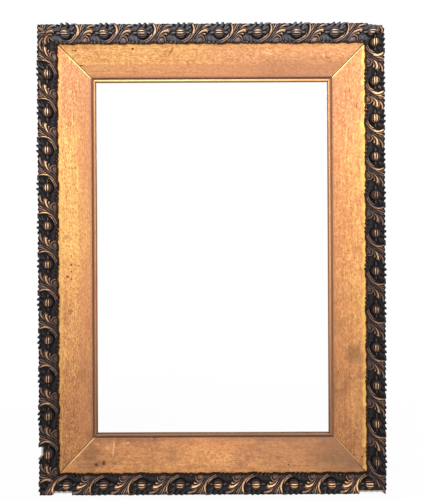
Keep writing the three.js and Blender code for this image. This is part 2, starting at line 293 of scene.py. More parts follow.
class Paint(Nodes):
    """A material with its node tree."""

    def __init__(self, name):
        self.material = bpy.data.materials.new(name)
        super().__init__(self.material)
        self.shader = self.tree.nodes["Principled BSDF"]

    def attributes(self, *names):
        """A mesh's numbers of these names."""
        return [self.node("Attribute", {}, attribute_name=name)["Fac"] for name in names]

    def place(self):
        return self.node("TexCoord", {})["Object"]

    def scaled(self, vector, scale):
        return self.node("Mapping", {"Vector": vector, "Scale": scale})["Vector"]

    def vector(self, x, y, z):
        return self.node("CombineXYZ", {"X": x, "Y": y, "Z": z})["Vector"]

    def noise(self, vector, scale, detail=4.0, rough=0.55):
        inputs = {"Vector": vector, "Scale": scale, "Detail": detail, "Roughness": rough}
        return self.node("TexNoise", inputs)["Fac"]

    def grain(self, place, stretch, detail=4.0, rough=0.55):
        """Noise with its own scale along each axis."""
        return self.noise(self.scaled(place, stretch), 1.0, detail, rough)

    def step(self, value, low, high, to_low=0.0, to_high=1.0):
        """Rises smoothly from to_low to to_high as the value goes from low to high."""
        inputs = {"Value": value, "From Min": low, "From Max": high, "To Min": to_low, "To Max": to_high}
        return self.node("MapRange", inputs, interpolation_type="SMOOTHSTEP")["Result"]

    def mm_step(self, length, low, high, to_low=0.0, to_high=1.0):
        """The same for a length, between two places in millimetres."""
        return self.step(length, MM * low, MM * high, to_low, to_high)

    def far(self, place):
        """Distance from a place's origin."""
        return self.node("VectorMath", {0: place}, operation="LENGTH")["Value"]

    def mix(self, share, a, b):
        """Goes from one colour to another. A colour is a node's output or three numbers from 0 to 255."""
        a, b = (colour(*shade) if isinstance(shade, tuple) else shade for shade in (a, b))
        return self.node("Mix", {0: share, 6: a, 7: b}, data_type="RGBA")[2]

    def coats(self, skin, *rows):
        """Lays colours over a skin one after another, each by its share."""
        for share, shade in rows:
            skin = self.mix(share, skin, shade)
        return skin

    def oval(self, place, centre, size, turn=0.0):
        """1 at the heart of an oval on a board, 0 beyond its edge; centre and size are in millimetres."""
        along, across, board = centre
        inputs = {
            "Vector": place,
            "Location": (along * MM, across * MM, board),
            "Rotation": (0.0, 0.0, math.radians(turn)),
            "Scale": (size[0] * MM, size[1] * MM, 0.2),
        }
        local = self.node("Mapping", inputs, vector_type="TEXTURE")["Vector"]
        return self.step(self.far(local), 1.0, 0.55)

    def ragged(self, place, far=0.02):
        """Places pushed about, so that a mark there has an uneven outline."""
        inputs = {"Vector": place, "Scale": 45.0, "Detail": 4.0}
        push = self.node("TexNoise", inputs)["Color"]
        middle = self.node("VectorMath", {0: push, 1: (0.5, 0.5, 0.5)}, operation="SUBTRACT")["Vector"]
        scaled = self.scaled(middle, (far, far, 0.0))
        return self.node("VectorMath", {0: place, 1: scaled}, operation="ADD")["Vector"]

    def bump(self, height, distance, strength):
        inputs = {"Height": height, "Distance": distance, "Strength": strength}
        return self.node("Bump", inputs)["Normal"]

    def finish(self, **sockets):
        for name, value in sockets.items():
            self.set(self.shader.inputs[name.replace("_", " ")], value)
        return self.material


# The ornament's relief, drawn once for one repeat: u along it from the berry, v across it

PITCH = 78.4
BERRY_V = 14.5
BERRY_RADIUS = 10.9
BERRY_RIBS = 14
BERRY_FLUTE = 1.3
# How far the ribs, and the gold on them with its painted highlight, are turned inwards
BERRY_TURN = 0.12
MAP_STEPS = 320
MAP_CELL = PITCH / MAP_STEPS
MAP_OUT = -5
MAP_IN = 40
# The thinnest that a groove leaves the strip, and how high a form stands where its leaf is whole
LEAST_THICK = 1.2
LEAF_WHOLE = 1.5


def seat_height(v):
    """The pine seat under the ornament."""
    return SEAT_OUT - SEAT_FALL * (v - RAIL_OUT) / (RAIL_IN - RAIL_OUT)


def ground_height(v):
    """The strip behind the leaves: a rim along the outer edge, then a hollow."""
    thickness = np.interp(v, (-5, 0, 4, 9, 14, 24, 30, 34), (5.6, 5.6, 4.8, 2.6, 2.0, 2.0, 2.3, 1.8))
    return seat_height(v) + thickness


def blurred(values, reach):
    """A map softened over a reach in millimetres; it repeats along its first axis."""
    cells = reach / MAP_CELL
    steps = range(-math.ceil(2.5 * cells), math.ceil(2.5 * cells) + 1)
    weights = [math.exp(-((step / cells) ** 2) / 2) for step in steps]
    total = sum(weights)
    along = sum(weight * np.roll(values, step, axis=0) for step, weight in zip(steps, weights)) / total
    edge = np.pad(along, ((0, 0), (len(steps) // 2,) * 2), mode="edge")
    width = values.shape[1]
    return sum(weight * edge[:, i:i + width] for i, weight in enumerate(weights)) / total


class Relief:
    """Maps of height, gold rub and leaf for one repeat of the ornament."""

    def __init__(self):
        u = np.arange(MAP_STEPS) * MAP_CELL
        v = np.arange(MAP_OUT, MAP_IN, MAP_CELL)
        self.u, self.v = np.meshgrid(u, v, indexing="ij")
        self.ground = ground_height(self.v)
        self.height = self.ground.copy()
        self.rub = np.zeros_like(self.u)
        self.leaf = np.zeros_like(self.u)

    def along(self, u):
        """Distance along the run from a place, the shorter way round the repeat."""
        return (self.u - u + PITCH / 2) % PITCH - PITCH / 2

    def near(self, route):
        """Each cell's distance to a route, and how far along the route that is."""
        line, shares = smooth_curve(route)
        distance = np.full_like(self.u, np.inf)
        share = np.zeros_like(self.u)
        for (u0, v0), (u1, v1), s0, s1 in zip(line, line[1:], shares, shares[1:]):
            du = self.along(u0)
            dv = self.v - v0
            t = unit((du * (u1 - u0) + dv * (v1 - v0)) / ((u1 - u0) ** 2 + (v1 - v0) ** 2))
            d = np.hypot(du - t * (u1 - u0), dv - t * (v1 - v0))
            closer = d < distance
            distance[closer] = d[closer]
            share[closer] = (s0 + t * (s1 - s0))[closer]
        return distance, share

    def lay(self, lift, rub, leaf=1.0, base=None):
        """Lays a form on the strip where it stands above what is there."""
        raised = (self.ground if base is None else base) + lift
        over = (lift > 0) & (raised > self.height)
        self.height[over] = raised[over]
        self.rub[over] = rub[over]
        self.leaf[over] = (leaf * unit(lift / LEAF_WHOLE))[over]

    def ridge(self, route, width, height, rub=(0, 0), leaf=1, crest=0.85):
        """A ridge whose width, height and rub each go from the route's root over its middle to its tip."""
        distance, share = self.near(route)
        stops = (0, 0.5, 1)
        reach = np.interp(share, stops, width)
        round_off = unit(1 - (distance / reach) ** 1.7)
        gold = np.interp(share, np.linspace(0, 1, len(rub)), rub) * round_off ** 0.8
        self.lay(np.interp(share, stops, height) * round_off ** crest, gold, leaf)

    def dome(self, centre, size, height, rub=0, leaf=1, crest=0.5):
        du = self.along(centre[0]) / size[0]
        dv = (self.v - centre[1]) / size[1]
        round_off = unit(1 - du ** 2 - dv ** 2)
        self.lay(height * round_off ** crest, rub * round_off, leaf)

    def groove(self, route, width, depth):
        distance, share = self.near(route)
        cut = unit(1 - (distance / width) ** 2) * np.sin(np.pi * np.clip(share, 0.08, 0.92))
        self.height = np.maximum(self.height - depth * cut, seat_height(self.v) + LEAST_THICK)
        self.rub *= 1 - cut

    def berry(self):
        """A ribbed ball with its poles along the run."""
        du = self.along(0)
        dv = self.v - BERRY_V
        girth = np.sqrt(np.clip(BERRY_RADIUS ** 2 - du ** 2, 0, None))
        rise = np.sqrt(np.clip(girth ** 2 - dv ** 2, 0, None))
        turn = np.arctan2(dv, rise + 1e-6)
        rib = np.abs(np.sin(BERRY_RIBS * (turn - BERRY_TURN) / 2))
        flute = BERRY_FLUTE * (1 - rib) ** 1.6 * unit(girth / BERRY_RADIUS)
        lift = np.where(girth > np.abs(dv), rise - flute * unit(rise / 3), 0)
        centre = np.full_like(lift, ORNAMENT_HIGH - BERRY_RADIUS)
        # The ribs' gold lies on the berry's front, turned a little inwards: worn gold with a painted
        # highlight
        front = ramp(np.abs(turn - BERRY_TURN), 0.78, 0.38) * ramp(girth / BERRY_RADIUS, 0.58, 0.9)
        self.lay(lift, (0.2 + 0.8 * rib ** 2) * front, 0.6, centre)
        self.on_berry = lift > 0.8
        self.berry_raised = 0.8 * (rib - 0.62) * (1 - front) + 1.7 * (rib - 0.7) * front

    def soften(self, creases, hollows):
        """Rounds the creases, as a worn casting has them, and finds what stands over its surroundings."""
        grids = (self.height, self.rub, self.leaf)
        self.height, self.rub, self.leaf = (blurred(grid, creases) for grid in grids)
        above = self.height - self.ground
        self.raised = above - blurred(above, hollows)
        self.raised[self.on_berry] = self.berry_raised[self.on_berry]

    def sample(self, u, v):
        """Height, rub, leaf and raised at places of the run."""
        gu = (u % PITCH) / MAP_CELL
        gv = np.clip((v - MAP_OUT) / MAP_CELL, 0, self.u.shape[1] - 1.001)
        i = gu.astype(int) % self.u.shape[0]
        k = (i + 1) % self.u.shape[0]
        j = gv.astype(int)
        fu = gu - gu.astype(int)
        fv = gv - j
        grids = (self.height, self.rub, self.leaf, self.raised)
        return [between(grid, i, k, j, fu, fv) for grid in grids]


# Places, half widths and heights of what swells the rim outwards, and of the inner edge's teeth, notches
# and lobes
RIM_KNOBS = ((-3.4, 3.2, 3.3), (7.7, 3.2, 3.1), (17.6, 3.4, 2.4), (23.4, 3.8, 2.6))
RIM_LEAVES = ((33.5, 4, 1.7), (43.5, 3.8, 2), (54, 4, 1.7), (64.5, 3.6, 2.2))
EDGE_TEETH = ((-28, 3, 0.8), (-20.5, 4, 1.3), (-12, 2.6, 1.5), (-4.6, 4, 1.6))
EDGE_NOTCHES = ((-23.6, 2.4, 1.2), (-14.2, 2.2, 1.6), (-6.4, 1.9, 1.4), (46.5, 4, 0.8))
EDGE_LOBES = ((5.5, 11, 1.9), (34.5, 9, 1.3), (55, 4.5, 0.9), (67.5, 5, 1.2))
LOBES_MEAN = 0.85


def draw_relief():
    """One repeat: a berry on its stem, the leaf that cups it, and the fan of fingers that follows."""
    relief = Relief()
    ridge = relief.ridge
    # Low leaves behind the berry
    ridge([(-31, 23), (-18, 25), (-6, 28.5), (5, 31)], (5, 7, 4), (1.2, 2, 1.2), leaf=0.25)
    ridge([(-29, 5), (-20, 6.5), (-10, 6)], (3.5, 5, 3), (0.8, 1.6, 0.8), leaf=0.2)
    for foot, tip in (((-26, 21), (-21, 34)), ((-18.5, 20), (-13, 34)), ((-11, 24), (-6.5, 34))):
        relief.groove([foot, tip], 1.2, 0.7)
    # Teeth of those leaves along the inner edge
    for u, _, _ in EDGE_TEETH:
        relief.dome((u - 0.6, 34.4), (3.6, 4.6), 2.6, 0.28, 0.35)
    # Lobes that end as knobs on the rim
    for end in (-3.4, 7.7):
        lobe = [(end - 10, 9.5), (end - 5.5, 5.5), (end - 2, 1.5), (end + 0.2, -3)]
        ridge(lobe, (1.6, 2.6, 3.2), (1, 1.8, 2), (0.2, 0.1, 0), 0.15)
    # Small leaf beside the berry, and the rounded back of the cup
    ridge([(8.5, 10), (13, 7.4), (19, 4.6)], (2, 3.2, 2), (1.2, 2, 1.2), (0.1, 0.16, 0.05), 0.25)
    ridge([(12.5, 6), (15.5, 1.6), (20.5, -0.8), (25.5, 0.6), (28, 4)], (1.8, 2.4, 1.8),
          (1.6, 2.4, 2), (0.02, 0.08, 0.05), 0.35)
    # Stem and nub
    ridge([(-17, 14.2), (-13, 14.4), (-9, 14.5)], (2, 2.4, 2.6), (2, 3, 3.6),
          (0.02, 0.08, 0), 0.45)
    ridge([(9, 14.4), (12.5, 14.2), (16, 14)], (2.6, 2.4, 2), (3.6, 3, 2), (0, 0.1, 0.03), 0.5)
    # The fan's body and its valley
    ridge([(14, 33), (27, 23.5), (39, 13), (51, 3)], (6, 9.5, 6), (1.6, 3, 2), leaf=0.85, crest=0.8)
    # The leaf that cups the berry, forked at its rim end
    ridge([(37, 1), (34, 6), (31, 11.5), (28.5, 17)], (2, 2.6, 1.8), (3.4, 4.8, 3.8),
          (0.25, 0.48, 0.36, 0.1))
    ridge([(41, 2), (38.4, 5), (34.8, 10)], (1.3, 1.7, 1.2), (2.8, 3.8, 3), (0.28, 0.32, 0.08))
    ridge([(31.4, 0.5), (30.8, 4.5), (29.8, 8.5)], (1.4, 1.8, 1.4), (3, 4, 3.2), (0.25, 0.42))
    ridge([(25.4, 1.5), (27, 5), (27.8, 9.5), (27, 14), (24.4, 19), (20, 24), (14, 28.6), (6, 32)],
          (2, 3.9, 2.4), (3.4, 6.4, 2), (0.4, 0.78, 0.88, 0.6, 0.3, 0.16, 0.08))
    ridge([(20.6, 15.6), (18.8, 20), (15, 24), (9.5, 27.2), (2.5, 29.6)], (1, 2.4, 2),
          (3, 4.4, 1.8), (0.38, 0.6, 0.5, 0.35, 0.22))
    # Fingers of the fan
    ridge([(34, 18), (40, 11), (46.2, 6.2), (53, 3.4), (61, 2.2)], (1.1, 2.1, 2.3), (3.6, 4.8, 2.8),
          (0.1, 0.22, 0.46, 0.46, 0.25))
    ridge([(34, 20.5), (42, 11.6), (48.5, 8), (54, 7.6), (57.3, 9.8)], (0.9, 1.8, 1.5), (3.6, 4.2, 2.6),
          (0.08, 0.2, 0.25, 0.1))
    ridge([(24.5, 28.4), (30.5, 22.2), (37, 16.8), (44, 13), (50, 11.5), (53.2, 11.6)], (1.3, 2.6, 3.5),
          (3.4, 5.8, 6.6), (0.2, 0.65, 0.95, 1))
    ridge([(33.5, 24.4), (40, 18.9), (46, 17), (49.4, 17.3)], (0.9, 1.6, 2.1), (3.4, 4.4, 4.6),
          (0.05, 0.3, 0.85))
    # Curled lobe, down to the inner edge
    relief.dome((38.5, 30), (9, 9.4), 4.8, 0.3, 1, 0.8)
    ridge([(29.5, 29.5), (34, 23.6), (40, 20.8), (45, 22.8), (47.2, 27.5), (46.2, 32.5)],
          (1.2, 2.4, 1.4), (3.2, 5, 3), (0.05, 0.2, 0.34, 0.22, 0.05))
    relief.groove([(39, 31.5), (42.4, 29), (44.2, 30.4)], 1, 0.9)
    relief.groove([(20, 33), (29.5, 23), (39.5, 11.8), (50, 1)], 1.5, 2.6)
    relief.berry()
    relief.soften(creases=0.25, hollows=1.4)
    return relief


def bumps(u, forms):
    """An edge's rise along the run, from (place, half width, height) of each form on it."""
    rise = np.zeros_like(u)
    for place, half, height in forms:
        off = (u - place + PITCH / 2) % PITCH - PITCH / 2
        rise = np.maximum(rise, height * np.sqrt(unit(1 - (off / half) ** 2)))
    return rise


# How far each rail's rim and inner edge spread, and how much is left of its knobs, rim leaves and teeth
RIM_SPREAD = by_side(0.8, 0.8, 1.6, 0.8)
EDGE_SPREAD = by_side(0.2, 0.4, 0.5, 0.6)
RIM_LEFT = by_side(0.95, 0.85, 0.25, 0.95)
LEAVES_LEFT = by_side(0.45, 1, 0.2, 0.9)
TEETH_LEFT = by_side(0.6, 1, 0.6, 0.45)
# How much gold each rail's inner edge shows, worn gold with a painted reflection of the gilded boards; how
# far its gilding is painted in shade towards the foot, below zero on the top rail, which is dusty and lit by
# a painted reflection; and how far its rub changes along it
EDGE_RUB_AND_REFLECTION = by_side(0.65, 0.65, 0.2, 0.4)
RAIL_SHADE = by_side(-1, 0.78, 0.3, 0.52)
RUB_CHANGE = by_side(0.12, 0.35, 0.25, 0.2)
# Each rail's first berry from its left end, and the spacing of its berries
SPACING = by_side((54, 78.95), (37.9, 78.05), (31.8, 77.6), (80.9, 77.87))
# How far inwards each rail's run of forms sits
INSET = by_side(0.6, 1.2, 2.2, 1.8)
# The left rail's run is turned round at its upper end, for a leaf in the corner
CORNER_LEAF = 42
# How far from the upper left corner the ornament is less rubbed
DULL_CORNER = 60

# Places along a rail where the rim is broken or worn away: side, from, to, how deep, how far it is bare, and
# over what length it starts
LOSSES = (
    ("bottom", 286, 327, 2, 1, 3),
    ("bottom", -350, -297, 1.6, 1, 3),
    ("left", -404, -380, 2.2, 1, 3),
    ("top", 318, 380, 2.2, 0.15, 8),
    ("top", 320, 380, 5.2, 0.15, 34),
    ("right", -490, -468, 2.4, 0.15, 8),
)

STATION = 0.7
FACE_ROWS = 56
SKIRT_DROP = 8
SKIRT_SIDE = 5
FLANGE = 0.6
ORNAMENT_CREASE = 60
# How far in the rim and the inner edge are rounded, and how deep
RIM_ROUND, RIM_FALL = 1.7, 1.9
EDGE_ROUND, EDGE_FALL = 2.2, 2.4
# How far in a broken rim shows its wood, from where it ends to where it is all bare, and how thick that is
CHIP_IN = (5.6, 3.6)
CHIP_THICK = 2.2
# How far from a mitre the knobs start, and where they are whole
KNOBS_FROM = (3, 11)
# How far in from the rim and from the inner edge the run is painted dark as shade, and how far in that edge
# shows gold, worn and with a painted reflection
RIM_DARK = 4.5
EDGE_DARK = 1.8
EDGE_GOLD_REACH = 1.6


def losses_at(side, x):
    """How deep the rim is broken along a rail, and how far it is bare there."""
    depth = np.zeros_like(x)
    open_wood = np.zeros_like(x)
    for where, start, end, deep, bare, slope in LOSSES:
        if where == side:
            ragged = 1 + 0.35 * bare * np.sin(0.9 * x) * np.sin(0.37 * x + 1)
            inside = ramp(x, start, start + slope) * ramp(x, end, end - slope)
            depth = np.maximum(depth, deep * ragged * inside)
            open_wood = np.maximum(open_wood, bare * inside)
    return depth, open_wood


def wander(x, cell):
    """Smooth random numbers along a run."""
    return value_noise(x, 0 * x, cell)


def run_places(side, x):
    """Where places along a rail lie on the repeat."""
    half = half_of(side)
    first, spacing = SPACING[side]
    u = (x + half - first) * PITCH / spacing
    if side == "left":
        u = u - 2 * np.maximum(x - (half - CORNER_LEAF), 0)
    return u + 0.7 * wander(x, 0.7 * PITCH)


def rim_and_edge(side, x, u, broken):
    """Where the run's outer rim and inner edge lie across a rail."""
    worn = 1 + 0.2 * wander(x, 30) + 0.25 * wander(x, 9)
    knobs = np.maximum(bumps(u, RIM_KNOBS) * RIM_LEFT[side], bumps(u, RIM_LEAVES) * LEAVES_LEFT[side])
    knobs = knobs * (1 - np.clip(broken / 2.5, 0, 0.85)) * ramp(half_of(side) - np.abs(x), *KNOBS_FROM)
    outer = broken - knobs * worn - RIM_SPREAD[side] + 0.25 * wander(x, 9)
    inner = ORNAMENT_IN + EDGE_SPREAD[side] + 0.55 * wander(x, 7)
    lobes = TEETH_LEFT[side] * bumps(u, EDGE_TEETH) - bumps(u, EDGE_NOTCHES) + bumps(u, EDGE_LOBES)
    return outer, np.maximum(inner + lobes * worn - LOBES_MEAN, RAIL_IN + 2 * FIT)


def skirt(rim, edge):
    """The run's underside and outer side, from the inner edge round to the rim: v and w of its rows."""
    foot = SEAT_OUT - SKIRT_DROP
    flange = np.clip(rim, 0, RAIL_OUT - FIT - FLANGE)
    rows = [
        (edge, ORNAMENT_LOW),
        (RAIL_IN + FIT, ORNAMENT_LOW),
        (RAIL_IN + FIT, seat_height(RAIL_IN) + FIT),
        (RAIL_OUT - FIT, SEAT_OUT + FIT),
        (RAIL_OUT - FIT, foot),
        (flange, foot),
        (flange, foot + SKIRT_SIDE),
        (flange, SEAT_OUT + 2 * FIT),
        (0.8 * np.minimum(rim, 0) + np.maximum(rim, 0), SEAT_OUT + 1),
    ]
    flat = np.ones_like(rim)
    return np.hstack([flat * v for v, _ in rows]), np.hstack([flat * w for _, w in rows])


def worn_height(side, x, v, height, from_rim, from_edge, chipped):
    """The run's height: uneven, low where it is chipped and rounded at the rim and the inner edge."""
    ground = ground_height(v)
    swell = 1 + 0.08 * value_noise(x, v, 40)
    swell = swell * (1 - 0.7 * (1 - RIM_LEFT[side]) * ramp(from_rim, 8, 3))
    height = ground + (height - ground) * swell + 0.18 * value_noise(x, v, 3.5) + 0.1 * value_noise(x, v, 1.6)
    height = height * (1 - chipped) + (seat_height(v) + CHIP_THICK) * chipped
    height = height - RIM_FALL * ramp(from_rim, RIM_ROUND, 0) ** 2
    height = height - EDGE_FALL * ramp(from_edge, EDGE_ROUND, 0) ** 2
    return np.minimum(height, ORNAMENT_HIGH)


def worn_gold(side, x, rub, from_edge):
    """How far a run is worn through to its gold: less in the upper left corner, more along the inner edge,
    where the gold is also a painted reflection of the gilded boards.
    """
    half = half_of(side)
    rub = rub * (1 + RUB_CHANGE[side] * wander(x, 0.9 * PITCH))
    if side in ("top", "left"):
        from_corner = x + half if side == "top" else half - x
        rub = rub * np.clip(from_corner / DULL_CORNER, 0.5, 1)
    return np.maximum(rub, EDGE_RUB_AND_REFLECTION[side] * ramp(from_edge, EDGE_GOLD_REACH, 0))


def ornament(side, relief, material):
    """One rail's run of ornament, sawn off at its mitres."""
    half = half_of(side)
    share = np.linspace(0, 1, round(2 * half / STATION))[:, None]
    across = np.linspace(0, 1, FACE_ROWS)[None, :]

    def ruled(v):
        return (half - v - MITRE_GAP) * (2 * share - 1)

    x = ruled(across * ORNAMENT_IN)
    u = run_places(side, x)
    broken, open_wood = losses_at(side, x)
    outer, inner = rim_and_edge(side, x, u, broken)
    v = outer + across * (inner - outer)
    from_rim = v - outer
    from_edge = inner - v
    inset = INSET[side] * np.minimum(ramp(v, 0, 7), ramp(v, ORNAMENT_IN, ORNAMENT_IN - 8))
    height, rub, leaf, raised = relief.sample(u, v - inset)
    chipped = open_wood * ramp(from_rim, *CHIP_IN)
    height = worn_height(side, x, v, height, from_rim, from_edge, chipped)
    rub = worn_gold(side, x, rub, from_edge)

    under_v, under_w = skirt(outer[:, :1], inner[:, -1:])
    v = np.hstack([v, under_v])
    w = np.hstack([height, under_w])
    places = in_frame(side, ruled(v), v, w)
    mesh = loft("carved_ornament_" + side, places)
    level = places[..., 2] / (HALF_HEIGHT * MM)
    # Painted shade: on the uprights the gilding darkens from the rail's level down to the foot, each
    # crosswise rail has one value, and the top rail's value below zero makes it dusty and lit by a painted
    # reflection
    dim = unit(RAIL_SHADE[side] - level) if is_upright(side) else np.full_like(level, RAIL_SHADE[side])
    # Painted shade along the rim and the inner edge, and on the skirt's walls: it dims the leaf, and these
    # places count as hollows, painted near black
    shade = np.minimum(ramp(from_rim, 0, RIM_DARK), ramp(from_edge, 0, EDGE_DARK))
    none = np.zeros_like(under_v)
    lip = none.copy()
    # Gold on the inner edge's wall: worn gold with a painted reflection of the gilded boards
    lip[:, 0] = EDGE_RUB_AND_REFLECTION[side]
    attach(mesh, {
        "dim": dim,
        "rub": np.hstack([rub * (1 - chipped), lip]),
        "leaf": np.hstack([leaf * shade, none]),
        "raised": np.hstack([raised - 0.5 * (1 - shade), none - 1]),
        "bare": np.hstack([chipped, none]),
    })
    piece = add_object(mesh, material, ORNAMENT_CREASE)
    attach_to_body(piece, "frame")
    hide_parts("ornament_" + side)


def bronze_paint():
    """Black-brown patina over gold, worn through on the high places, with a painted highlight on the crests,
    painted shade in the hollows and towards the foot, and a dusty top rail lit by a painted reflection.
    """
    paint = Paint("bronzed_gilding")
    mix, step, times, add = paint.mix, paint.step, paint.times, paint.add
    place = paint.place()
    rub, leaf, raised, bare, dim = paint.attributes("rub", "leaf", "raised", "bare", "dim")
    fine = paint.noise(place, 900, 4, 0.6)
    coarse = paint.noise(place, 170, 5, 0.6)
    broad = paint.noise(place, 16, 3)
    crest = step(raised, 0, 0.5)
    hollow = step(raised, 0.12, -0.3)
    # lower is the painted shade towards the foot: it darkens the patina and dulls the gold. upper marks the
    # top rail, dusty and lit by a painted reflection
    lower = step(dim, 0, 1)
    upper = step(dim, -0.2, -1)
    body = mix(coarse, (38, 28, 28), (106, 86, 80))
    dark = mix(coarse, (3, 4, 7), (34, 36, 44))
    # Painted highlight, a pale sheen laid on the crests
    painted_sheen = mix(leaf, (112, 110, 116), (164, 138, 126))
    # Grey dust along the top rail, with a painted reflection
    dust_and_reflection = times(upper, step(coarse, 0.3, 0.7, 0.2, 0.7))
    skin = paint.coats(
        mix(leaf, dark, body),
        (times(crest, step(leaf, 0.1, 1, 0.1, 0.64)), painted_sheen),
        (times(lower, 0.42), (16, 13, 13)),
        (times(dust_and_reflection, step(leaf, 0.05, 0.35, 1, 0.7)), (124, 122, 130)),
        # Painted highlight on the top rail's crests
        (times(times(upper, crest), 0.26), (168, 162, 166)),
    )
    worn = times(rub, step(raised, -0.1, 0.45, 0.25, 1))
    worn = add(worn, step(coarse, 0.3, 0.7, -0.18, 0.12))
    worn = add(worn, step(broad, 0.3, 0.7, -0.1, 0.08))
    worn = paint.maths("SUBTRACT", worn, times(lower, 0.24))
    worn = add(worn, times(upper, step(leaf, 0.65, 0.85, -0.16, 0.08)))
    warm = mix(step(worn, 0.3, 0.8), (172, 112, 68), (255, 200, 128))
    gold = paint.coats(
        mix(step(worn, 0.2, 0.56), (138, 96, 74), (210, 162, 124)),
        (step(worn, 0.46, 0.76), (255, 226, 186)),
        # The gold turns warmer where the painted shade begins
        (step(dim, -0.3, 0.3, 0, 0.5), warm),
        (step(fine, 0.45, 0.7, 0, 0.3), (255, 226, 188)),
        # Paler gold along the top rail: painted reflection
        (times(upper, step(worn, 0.5, 0.8)), (238, 198, 158)),
        # Duller gold towards the foot: painted shade
        (times(lower, 0.6), (126, 101, 86)),
    )
    shown = step(worn, 0.08, 0.42)
    skin = paint.coats(
        skin,
        (shown, gold),
        # Black patina in the hollows, deepened as painted shade; in the berry's flutes it is brown
        (times(hollow, 0.96), mix(rub, (5, 5, 7), (104, 58, 26))),
        (bare, mix(fine, (176, 158, 142), (218, 206, 194))),
    )
    return paint.finish(
        Base_Color=skin,
        Metallic=times(shown, 0.5),
        Roughness=step(shown, 0, 1, 0.5, 0.36),
        Specular_IOR_Level=0.12,
        Normal=paint.bump(add(times(fine, 0.5), coarse), 0.0009, 0.8),
    )


# Gilded flats

ARRIS = 1
CORNER_STEPS = 4
FLAT_RADII = (0.6, 0.8, 1.3, 2, 0.6)
FLAT_STEPS = 26
FLAT_CREASE = 35
FLAT_STATION = 8
# How far the gilding goes over the face's lower arris, how uneven the face is, and over what length
GILT_OVER = 3
FACE_WARP = 0.12
FACE_WAVE = 45
END_STATIONS = (0, 0.3, 1, 2, 4, 8, 16)


def rounded_section(corners, radii):
    """A closed section with its corners rounded."""
    ring = []
    corners = [np.array(c, float) for c in corners]
    for i, corner in enumerate(corners):
        back = corners[i - 1] - corner
        ahead = corners[(i + 1) % len(corners)] - corner
        start = corner + radii[i] * back / np.linalg.norm(back)
        end = corner + radii[i] * ahead / np.linalg.norm(ahead)
        for t in np.linspace(0, 1, CORNER_STEPS):
            ring.append((1 - t) ** 2 * start + 2 * t * (1 - t) * corner + t ** 2 * end)
    return np.array(ring)


def fill_span(ring, start, end, steps):
    """Adds evenly spaced points after ring[start], on the way to ring[end]."""
    shares = np.linspace(0, 1, steps + 1)[1:-1, None]
    extra = ring[start] * (1 - shares) + ring[end] * shares
    return np.concatenate([ring[: start + 1], extra, ring[start + 1:]])


def inward(ring):
    """Directions from a section's points into its inside."""
    way = np.roll(ring, -1, axis=0) - np.roll(ring, 1, axis=0)
    normal = np.stack([-way[:, 1], way[:, 0]], -1)
    normal /= np.linalg.norm(normal, axis=1)[:, None]
    twice_area = (ring[:, 0] * np.roll(ring[:, 1], -1) - np.roll(ring[:, 0], -1) * ring[:, 1]).sum()
    return normal * np.sign(twice_area)


def moulding(name, side, ring, step, lean):
    """A straight moulding between its mitres, with worn arrises there. Gives the mesh and its x, v and w."""
    half = half_of(side)
    longest = half - ring[:, 0].min()
    middle = np.linspace(-1, 1, round(2 * longest / step))
    ends = np.array(END_STATIONS) / longest
    inner = middle[np.abs(middle) < 1 - 1.3 * ends[-1]]
    share = np.concatenate([-1 + ends, inner, (1 - ends)[::-1]])[:, None]
    from_end = (1 - np.abs(share)) * longest
    inset = ARRIS * (1 - np.sqrt(unit(1 - (1 - unit(from_end / ARRIS)) ** 2)))
    v = ring[:, 0] + inset * inward(ring)[:, 0]
    w = ring[:, 1] + inset * inward(ring)[:, 1]
    x = share * (half - v - MITRE_GAP)
    w = w + lean(x, v, w)
    return loft(name, in_frame(side, x, v, w)), x, v, w


# How far each board shows its lap, a painted highlight in a strip along the ornament, pits, and a painted
# highlight along the bead, which is darker where that share is below zero
BOARD_SHARES = {
    "lap": by_side(0.46, 0.05, 0.15, 0.4),
    "strip": by_side(0.2, 0.95, 0.1, 0.35),
    "pits": by_side(0.6, 0.6, 0.4, 1),
    "gleam": by_side(0.5, -0.35, -0.15, -0.4),
}
# How far the mitre's edges show bright gold, worn gold with a painted highlight, and how far it shows a
# crack, at each board's two ends
MITRE_SHARES = {
    "rubbed_and_lit": by_side((0.25, 0.1), (1, 0.45), (0.1, 1), (0.1, 1)),
    "crack": by_side((1, 0.9), (0.1, 0.25), (0.4, 0.2), (1, 0.25)),
}
# How far each board's leaf is pink towards the top of the frame, and how far it shines
PINK = by_side(0.75, 0.65, 0, 0.85)
SHINE = by_side(0.1, 0, 0, 0.28)


